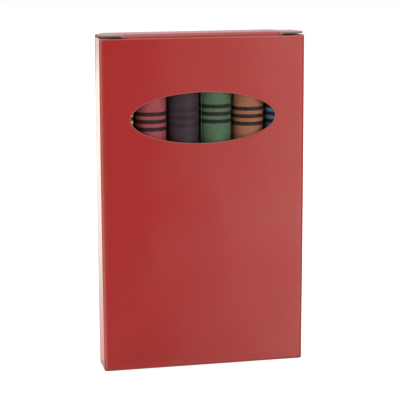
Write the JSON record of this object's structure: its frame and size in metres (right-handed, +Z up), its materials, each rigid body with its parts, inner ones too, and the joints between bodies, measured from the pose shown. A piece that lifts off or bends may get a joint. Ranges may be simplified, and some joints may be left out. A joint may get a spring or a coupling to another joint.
{
  "type": "crayon box",
  "caption": "Upright folding carton with an oval window and a tuck-in lid, holding a row of paper-wrapped wax crayons.",
  "frame": {"origin": "middle of the carton's base, on the surface it stands on", "axes": "+Z up through the lid, -Y out of the windowed front, +X to the right seen from the front"},
  "size_m": [0.057, 0.01, 0.093],
  "materials": {
    "carton_board": "satin",
    "yellow_wax": "satin",
    "yellow_wrapper_paper": "satin",
    "red_wax": "satin",
    "red_wrapper_paper": "satin",
    "black_wax": "satin",
    "black_wrapper_paper": "satin",
    "green_wax": "satin",
    "green_wrapper_paper": "satin",
    "orange_wax": "satin",
    "orange_wrapper_paper": "satin",
    "blue_wax": "satin",
    "blue_wrapper_paper": "satin"
  },
  "bodies": {
    "carton": {"front_panel": "carton_board", "back_panel": "carton_board", "left_side_panel": "carton_board", "right_side_panel": "carton_board", "glue_flap": "carton_board", "bottom_outer_panel": "carton_board", "bottom_inner_panel": "carton_board", "bottom_dust_flap_left": "carton_board", "bottom_dust_flap_right": "carton_board"},
    "yellow_crayon": {"yellow_stick": "yellow_wax", "yellow_wrapper": "yellow_wrapper_paper"},
    "red_crayon": {"red_stick": "red_wax", "red_wrapper": "red_wrapper_paper"},
    "black_crayon": {"black_stick": "black_wax", "black_wrapper": "black_wrapper_paper"},
    "green_crayon": {"green_stick": "green_wax", "green_wrapper": "green_wrapper_paper"},
    "orange_crayon": {"orange_stick": "orange_wax", "orange_wrapper": "orange_wrapper_paper"},
    "blue_crayon": {"blue_stick": "blue_wax", "blue_wrapper": "blue_wrapper_paper"},
    "lid": {"lid_panel": "carton_board"},
    "tuck_flap": {"tuck_flap": "carton_board"},
    "left_dust_flap": {"dust_flap_left": "carton_board"},
    "right_dust_flap": {"dust_flap_right": "carton_board"}
  },
  "joints": [
    {"name": "green_crayon_slide", "type": "slide", "parent": "carton", "child": "green_crayon", "axis": [0, 0, 1], "range_m": [0, 0.0175]},
    {"name": "yellow_crayon_slide", "type": "slide", "parent": "carton", "child": "yellow_crayon", "axis": [0, 0, 1], "range_m": [0, 0.01155]},
    {"name": "red_crayon_slide", "type": "slide", "parent": "carton", "child": "red_crayon", "axis": [0, 0, 1], "range_m": [0, 0.0175]},
    {"name": "black_crayon_slide", "type": "slide", "parent": "carton", "child": "black_crayon", "axis": [0, 0, 1], "range_m": [0, 0.0175]},
    {"name": "orange_crayon_slide", "type": "slide", "parent": "carton", "child": "orange_crayon", "axis": [0, 0, 1], "range_m": [0, 0.0175]},
    {"name": "blue_crayon_slide", "type": "slide", "parent": "carton", "child": "blue_crayon", "axis": [0, 0, 1], "range_m": [0, 0.01155]},
    {"name": "lid_hinge", "type": "hinge", "parent": "carton", "child": "lid", "pos_m": [0, 0.005, 0.0926], "axis": [-1, 0, 0], "range_deg": [0, 175]},
    {"name": "tuck_flap_hinge", "type": "hinge", "parent": "lid", "child": "tuck_flap", "pos_m": [0, -0.00411, 0.0926], "axis": [-1, 0, 0], "range_deg": [-21, 0]},
    {"name": "left_dust_flap_hinge", "type": "hinge", "parent": "carton", "child": "left_dust_flap", "pos_m": [-0.0285, 0, 0.0917], "axis": [0, -1, 0], "range_deg": [0, 88]},
    {"name": "right_dust_flap_hinge", "type": "hinge", "parent": "carton", "child": "right_dust_flap", "pos_m": [0.0285, 0, 0.0917], "axis": [0, 1, 0], "range_deg": [0, 88]}
  ],
  "couplings": [
    {"joint": "yellow_crayon_slide", "follows": "green_crayon_slide", "ratio": 0.66},
    {"joint": "red_crayon_slide", "follows": "green_crayon_slide", "ratio": 1},
    {"joint": "black_crayon_slide", "follows": "green_crayon_slide", "ratio": 1},
    {"joint": "orange_crayon_slide", "follows": "green_crayon_slide", "ratio": 1},
    {"joint": "blue_crayon_slide", "follows": "green_crayon_slide", "ratio": 0.66},
    {"joint": "lid_hinge", "follows": "green_crayon_slide", "rad_per_m": 174.53},
    {"joint": "tuck_flap_hinge", "follows": "green_crayon_slide", "rad_per_m": -20.944},
    {"joint": "left_dust_flap_hinge", "follows": "green_crayon_slide", "rad_per_m": 87.266},
    {"joint": "right_dust_flap_hinge", "follows": "green_crayon_slide", "rad_per_m": 87.266}
  ]
}
